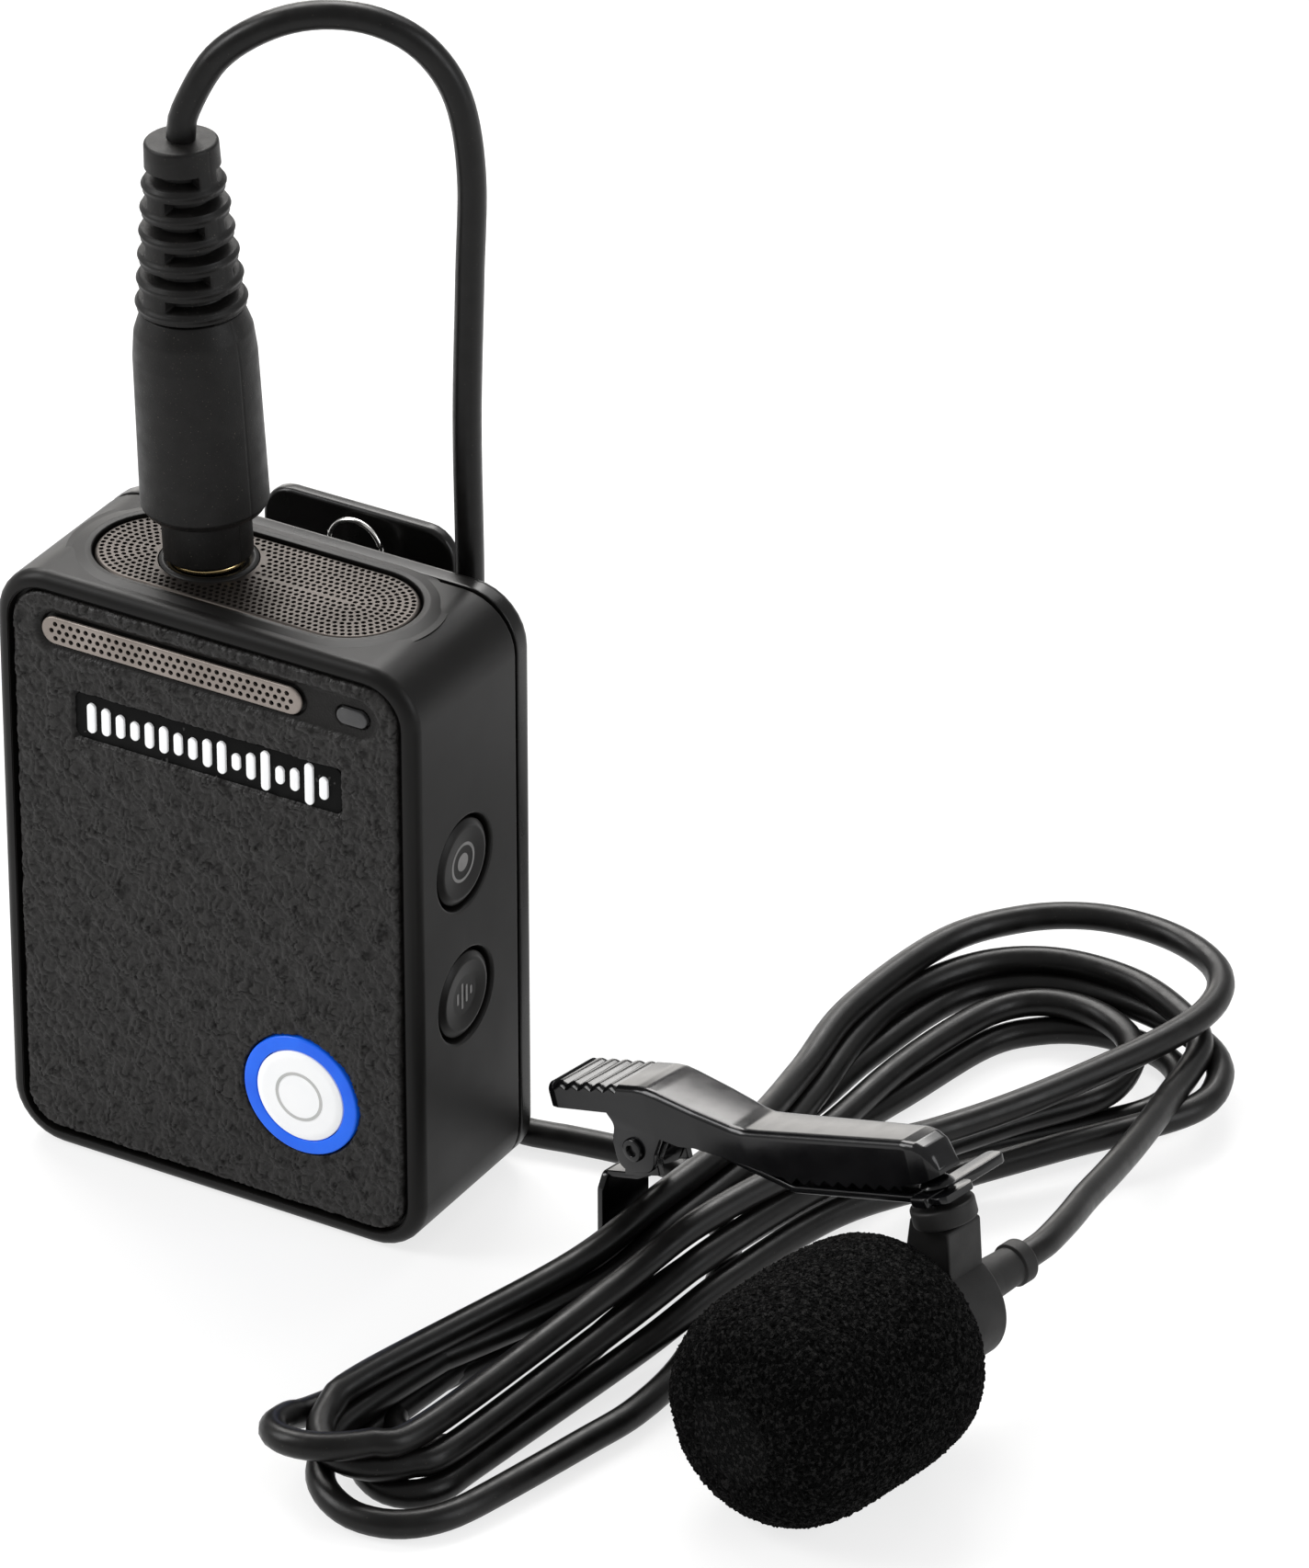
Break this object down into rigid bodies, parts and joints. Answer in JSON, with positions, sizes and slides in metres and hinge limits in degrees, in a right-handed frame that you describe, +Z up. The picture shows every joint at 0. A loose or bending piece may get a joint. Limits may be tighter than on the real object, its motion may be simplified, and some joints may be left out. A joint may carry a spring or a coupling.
{
  "type": "lavalier microphone set",
  "caption": "Clip-on wireless transmitter with a foam-covered lavalier microphone, its plug in the top jack and its spare cord gathered in a hank.",
  "frame": {"origin": "centre of the transmitter's flat bottom", "axes": "+X to the right along the transmitter's front, +Y to its back, +Z up"},
  "size_m": [0.0882, 0.096, 0.0957],
  "materials": {
    "case_plastic": "satin black moulded case with a soft warm sheen",
    "leather": "black pebbled leatherette, creased near its edges",
    "grille_metal": "perforated metal in a warm dark grey",
    "smoke_plastic": "dark smoked plastic",
    "white_plastic": "white satin plastic",
    "blue_light": "vivid blue light ring",
    "black_metal": "glossy black paint on stamped steel",
    "plug_rubber": "matte charcoal rubber",
    "gold_metal": "gold plated contact",
    "steel": "bright steel",
    "board": "green circuit board",
    "cell_wrap": "silver-grey battery wrap",
    "foam": "black open-cell foam",
    "grey_plastic": "dark grey moulded plastic",
    "cord_jacket": "satin black cable jacket"
  },
  "bodies": {
    "transmitter": {"ambient_microphone": "steel", "battery_cell": "cell_wrap", "belt_clip_pin": "steel", "belt_clip_spring": "steel", "charging_port": "steel", "circuit_board": "board", "cord_floor_lead": "cord_jacket", "cord_hank": "cord_jacket", "cord_mic_lead": "cord_jacket", "cover_screw_1": "steel", "cover_screw_2": "steel", "cover_screw_3": "steel", "cover_screw_4": "steel", "front_badge": "smoke_plastic", "front_housing": "case_plastic", "jack_socket": "black_metal", "leather_inlay": "leather", "mic_body": "grey_plastic", "mic_capsule": "steel", "mic_front_mesh": "grille_metal", "mic_strain_relief": "grey_plastic", "noise_cut_switch": "steel", "power_light_ring": "blue_light", "power_switch": "steel", "radio_antenna": "white_plastic", "rear_cover": "case_plastic", "rec_switch": "steel", "slot_grille": "grille_metal", "status_lens": "smoke_plastic", "top_grille": "grille_metal"},
    "power_button": {"power_button": "white_plastic"},
    "rec_button": {"rec_button": "case_plastic"},
    "noise_cut_button": {"noise_cut_button": "case_plastic"},
    "belt_clip": {"belt_clip": "case_plastic"},
    "plug": {"plug_barrel": "plug_rubber", "plug_boot": "plug_rubber", "plug_contact_ring": "gold_metal", "plug_sleeve": "gold_metal", "plug_insulator_upper": "plug_rubber", "plug_ring": "gold_metal", "plug_insulator_lower": "plug_rubber", "plug_tip": "gold_metal", "cord_riser": "cord_jacket"},
    "windscreen": {"foam_windscreen": "foam"},
    "holder": {"mic_holder": "grey_plastic"},
    "lower_jaw": {"clip_lower_jaw": "black_metal", "clip_rivet": "black_metal", "clip_pin": "black_metal", "clip_spring": "steel"},
    "upper_jaw": {"clip_upper_jaw": "black_metal"}
  },
  "joints": [
    {"name": "power_press", "type": "slide", "parent": "transmitter", "child": "power_button", "axis": [0, 1, 0], "range_m": [0, 0.0006], "stiffness_N_per_m": 400, "springref_m": -0.001},
    {"name": "rec_press", "type": "slide", "parent": "transmitter", "child": "rec_button", "axis": [-1, 0, 0], "range_m": [0, 0.0005], "stiffness_N_per_m": 400, "springref_m": -0.001},
    {"name": "noise_cut_press", "type": "slide", "parent": "transmitter", "child": "noise_cut_button", "axis": [-1, 0, 0], "range_m": [0, 0.0005], "stiffness_N_per_m": 400, "springref_m": -0.001},
    {"name": "belt_clip_hinge", "type": "hinge", "parent": "transmitter", "child": "belt_clip", "pos_m": [0, 0.0114, 0.036], "axis": [1, 0, 0], "range_deg": [0, 20], "stiffness_Nm_per_rad": 0.05, "springref_deg": -28.65, "deforming": ["belt_clip_spring"]},
    {"name": "plug_pull", "type": "slide", "parent": "transmitter", "child": "plug", "axis": [0, 0, 1], "range_m": [0, 0.016]},
    {"name": "windscreen_pull", "type": "slide", "parent": "transmitter", "child": "windscreen", "axis": [-0.1942, -0.981, 0], "range_m": [0, 0.02]},
    {"name": "holder_turn", "type": "hinge", "parent": "transmitter", "child": "holder", "pos_m": [0.06231, -0.00615, 0.00925], "axis": [0.1942, 0.981, 0], "range_deg": [0, 60]},
    {"name": "clip_swivel", "type": "hinge", "parent": "holder", "child": "lower_jaw", "pos_m": [0.06209, -0.00641, 0.01904], "axis": [-0.3194, 0.0632, 0.9455], "range_deg": [-8, 8]},
    {"name": "jaw_open", "type": "hinge", "parent": "lower_jaw", "child": "upper_jaw", "pos_m": [0.03498, -0.00104, 0.0127], "axis": [-0.1942, -0.981, 0], "range_deg": [0, 30], "stiffness_Nm_per_rad": 0.02, "springref_deg": -34.38, "deforming": ["clip_spring"]}
  ]
}
